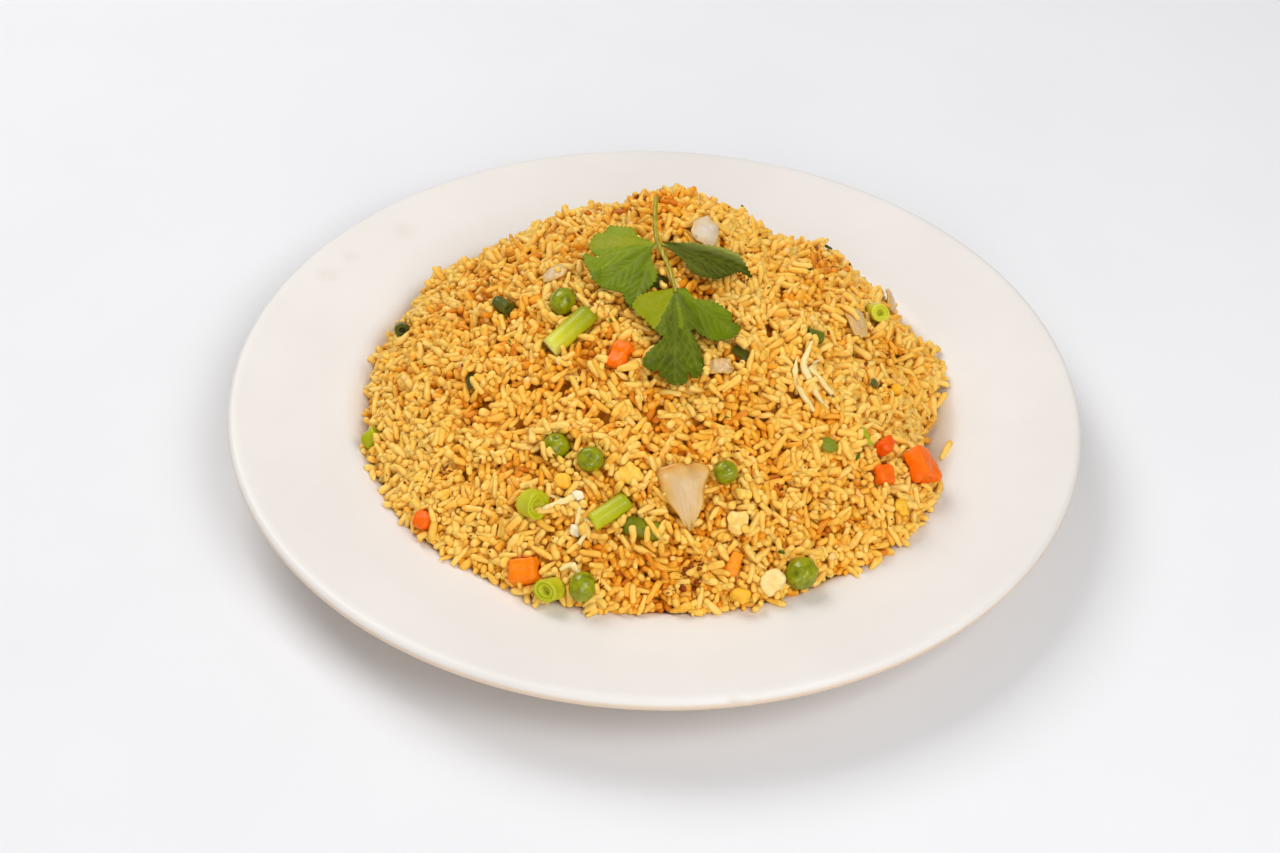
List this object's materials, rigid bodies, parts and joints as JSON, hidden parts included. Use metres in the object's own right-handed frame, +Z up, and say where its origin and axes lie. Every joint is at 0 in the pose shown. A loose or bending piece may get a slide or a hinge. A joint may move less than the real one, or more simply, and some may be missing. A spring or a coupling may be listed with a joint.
{
  "type": "fried rice plate",
  "caption": "Heap of fried rice with peas, spring onion, carrot, onion and scrambled egg on a round wide-rimmed plate, topped with a coriander sprig.",
  "frame": {"origin": "under the middle of the plate's foot, on the surface it stands on", "axes": "+Z up; the side of the dish nearest the diner is at -Y, so +X is on the diner's right"},
  "size_m": [0.28, 0.28, 0.0811],
  "materials": {
    "stoneware": "off-white satin glaze",
    "fried_rice": "soft, oily, pale gold to brown, stands for cooked rice",
    "pea": "moist, stands for cooked pea",
    "spring_onion_stalk": "moist, stands for cooked spring onion",
    "spring_onion_leaf": "moist, stands for cooked spring onion leaf",
    "carrot": "moist, stands for cooked carrot",
    "onion": "moist and translucent, stands for cooked onion",
    "scrambled_egg": "soft, stands for scrambled egg",
    "browned_bits": "fried brown crumbs",
    "black_pepper": "ground pepper",
    "coriander_leaf": "fresh leaf, satin",
    "coriander_stem": "fresh stem, satin"
  },
  "bodies": {
    "root": {"plate": "stoneware", "rice_heap": "fried_rice", "carrot_back_left": "carrot", "carrot_front": "carrot", "carrot_left_edge": "carrot", "carrot_middle": "carrot", "carrot_right_large": "carrot", "carrot_right_lower": "carrot", "carrot_right_upper": "carrot", "carrot_sunk": "carrot", "coriander_leaf_front": "coriander_leaf", "coriander_leaf_left": "coriander_leaf", "coriander_leaf_right": "coriander_leaf", "coriander_stem": "coriander_stem", "egg_back_left": "scrambled_egg", "egg_front_right": "scrambled_egg", "egg_middle_right": "scrambled_egg", "egg_right": "scrambled_egg", "egg_round": "scrambled_egg", "egg_small_right": "scrambled_egg", "egg_thread_right": "scrambled_egg", "egg_white_curl": "scrambled_egg", "egg_white_flake": "scrambled_egg", "egg_yolk_front": "scrambled_egg", "egg_yolk_middle": "scrambled_egg", "egg_yolk_right": "scrambled_egg", "onion_by_leaf": "onion", "onion_front": "onion", "onion_right": "onion", "onion_right_edge": "onion", "onion_top": "onion", "onion_upper_left": "onion", "pea_back_left": "pea", "pea_buried": "pea", "pea_front_left": "pea", "pea_front_right": "pea", "pea_middle": "pea", "pea_middle_right": "pea", "scallion_arc": "spring_onion_leaf", "scallion_back_edge": "spring_onion_leaf", "scallion_back_right": "spring_onion_leaf", "scallion_by_leaf": "spring_onion_leaf", "scallion_by_pea": "spring_onion_stalk", "scallion_by_yolk": "spring_onion_leaf", "scallion_curl": "spring_onion_leaf", "scallion_cut": "spring_onion_stalk", "scallion_left_edge": "spring_onion_leaf", "scallion_left_slice": "spring_onion_stalk", "scallion_long": "spring_onion_stalk", "scallion_right": "spring_onion_stalk", "scallion_ring": "spring_onion_stalk", "scallion_sliver": "spring_onion_leaf", "scallion_square": "spring_onion_leaf", "scallion_sunk": "spring_onion_stalk", "scallion_under_leaf": "spring_onion_leaf", "scallion_upper_left": "spring_onion_leaf"}
  },
  "joints": []
}
